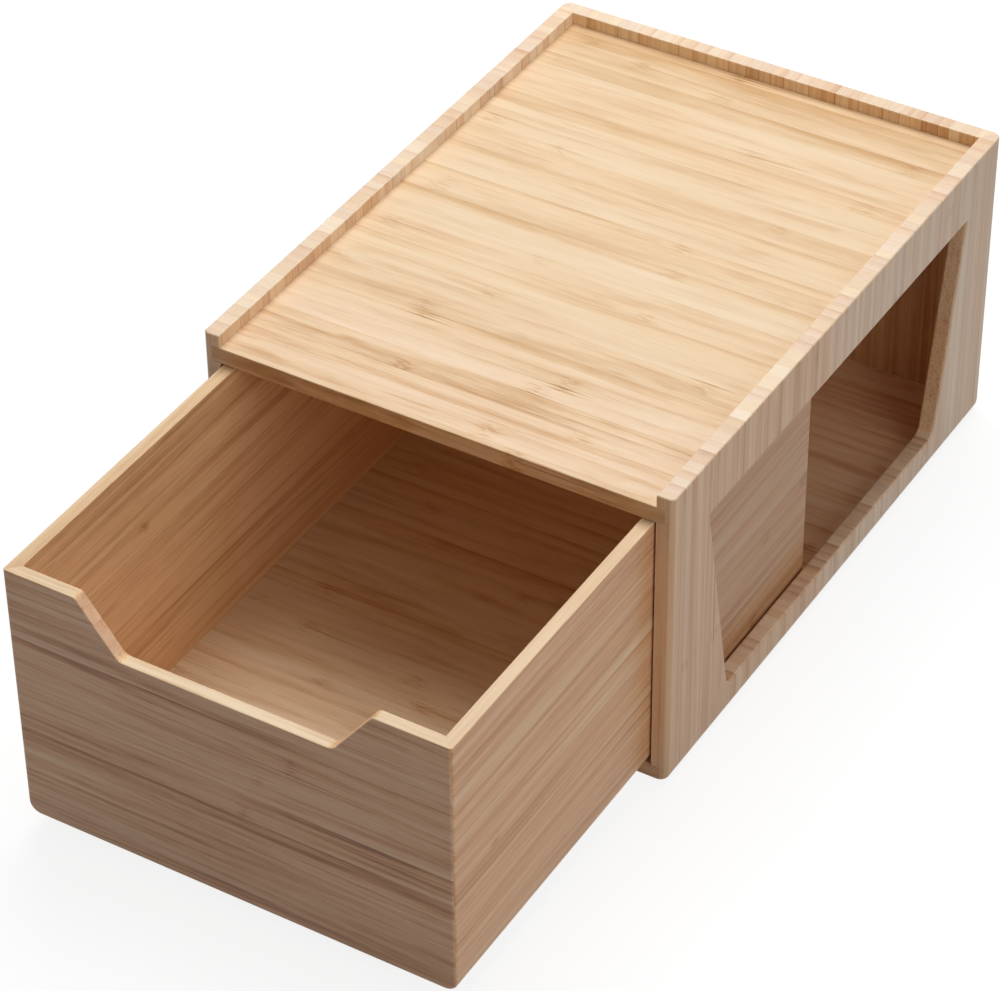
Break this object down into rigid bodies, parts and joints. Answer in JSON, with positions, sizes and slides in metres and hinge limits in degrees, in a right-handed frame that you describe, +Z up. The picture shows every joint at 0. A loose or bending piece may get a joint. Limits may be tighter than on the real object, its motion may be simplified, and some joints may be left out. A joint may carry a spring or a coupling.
{
  "type": "stackable drawer box",
  "caption": "Open-fronted wooden case with a recessed top and tapered side windows, holding one notched pull-out drawer; cases stack on their rims.",
  "frame": {"origin": "centre of the case's underside", "axes": "+X to the right as seen from the front, +Y from the open front to the back, +Z up; the drawer pulls out along -Y"},
  "size_m": [0.226, 0.459, 0.1535],
  "materials": {
    "case_walls": "satin clear coat on upright-grained laminated bamboo",
    "case_boards": "satin clear coat on cross-grained laminated bamboo",
    "drawer_walls": "satin clear coat on laminated bamboo",
    "drawer_floor": "satin clear coat on thin laminated bamboo",
    "tongues": "bare wood"
  },
  "bodies": {
    "case": {"case_left_side": "case_walls", "case_right_side": "case_walls", "case_back": "case_walls", "case_top": "case_boards", "case_bottom": "case_boards", "case_left_spline": "tongues", "case_right_spline": "tongues"},
    "drawer": {"drawer_front": "drawer_walls", "drawer_left_side": "drawer_walls", "drawer_right_side": "drawer_walls", "drawer_back": "drawer_walls", "drawer_bottom": "drawer_floor", "drawer_front_left_spline": "tongues", "drawer_front_right_spline": "tongues", "drawer_back_left_spline": "tongues", "drawer_back_right_spline": "tongues"}
  },
  "joints": [
    {"name": "drawer_slide", "type": "slide", "parent": "case", "child": "drawer", "axis": [0, -1, 0], "range_m": [-0.155, 0.095]}
  ]
}
